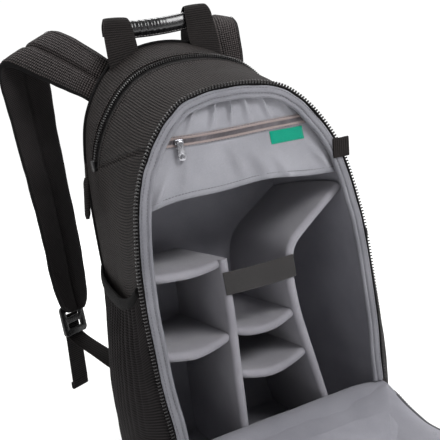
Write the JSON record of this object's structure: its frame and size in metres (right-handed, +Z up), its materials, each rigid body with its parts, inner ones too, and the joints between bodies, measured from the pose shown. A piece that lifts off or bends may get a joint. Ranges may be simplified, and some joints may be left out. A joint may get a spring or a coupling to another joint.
{
  "type": "camera backpack",
  "caption": "Camera backpack standing open: arched front panel let down on the floor, padded dividers inside, side mesh pockets, top handle and shoulder straps.",
  "frame": {"origin": "middle of the flat underside of the base, on the floor", "axes": "+Z up, the open front faces -Y, the wearer's back is at +Y, +X to the right seen from the front"},
  "size_m": [0.3154, 0.6244, 0.495],
  "materials": {
    "ballistic_fabric": "coarse black woven nylon, slight sheen",
    "plain_black_fabric": "plain black tape",
    "mesh_fabric": "black mesh",
    "webbing": "black webbing",
    "grey_lining": "smooth light grey lining",
    "grey_divider": "brushed grey padded divider",
    "grey_binding": "grey edge binding",
    "zip_coil": "black coil zip",
    "pocket_zip_tape": "warm grey zip tape",
    "zip_metal": "grey die cast metal",
    "grip_leather": "black grained, semi gloss",
    "black_plastic": "black moulded",
    "label_fabric": "bare green woven tab"
  },
  "bodies": {
    "bag": {"outer_shell": "ballistic_fabric", "padded_lining": "grey_lining", "back_panel": "mesh_fabric", "opening_zip_teeth": "zip_coil", "opening_zip_tape": "plain_black_fabric", "opening_binding": "grey_binding", "crown_zip": "zip_coil", "crown_slider_left": "black_plastic", "crown_slider_right": "black_plastic", "crown_pull_left": "plain_black_fabric", "crown_pull_right": "plain_black_fabric", "left_long_divider": "grey_divider", "right_long_divider": "grey_divider", "left_upper_divider": "grey_divider", "left_lower_divider": "grey_divider", "middle_upper_divider": "grey_divider", "middle_lower_divider": "grey_divider", "upper_shelf": "grey_divider", "hook_loop_strap": "webbing", "pocket_panel": "grey_lining", "pocket_zip": "pocket_zip_tape", "pocket_label": "label_fabric", "pocket_slider": "zip_metal", "edge_tab": "webbing", "side_pocket_left": "mesh_fabric", "side_pocket_right": "mesh_fabric", "pocket_band_left": "webbing", "pocket_band_right": "webbing", "handle_webbing_left": "webbing", "handle_webbing_right": "webbing", "handle_grip": "grip_leather", "shoulder_strap_left": "mesh_fabric", "shoulder_strap_right": "mesh_fabric", "ladder_lock_left": "black_plastic", "ladder_lock_right": "black_plastic", "lower_webbing_left": "webbing", "lower_webbing_right": "webbing", "webbing_tail_left": "webbing", "webbing_tail_right": "webbing", "strap_anchor_left": "webbing", "strap_anchor_right": "webbing", "flap_outer": "ballistic_fabric", "flap_lining": "grey_lining", "flap_zip_teeth": "zip_coil"},
    "pull": {"pocket_pull": "zip_metal"}
  },
  "joints": [
    {"name": "pocket_pull_swing", "type": "hinge", "parent": "bag", "child": "pull", "pos_m": [-0.062, -0.0774, 0.346], "axis": [-1, 0, 0], "range_deg": [0, 150]}
  ]
}
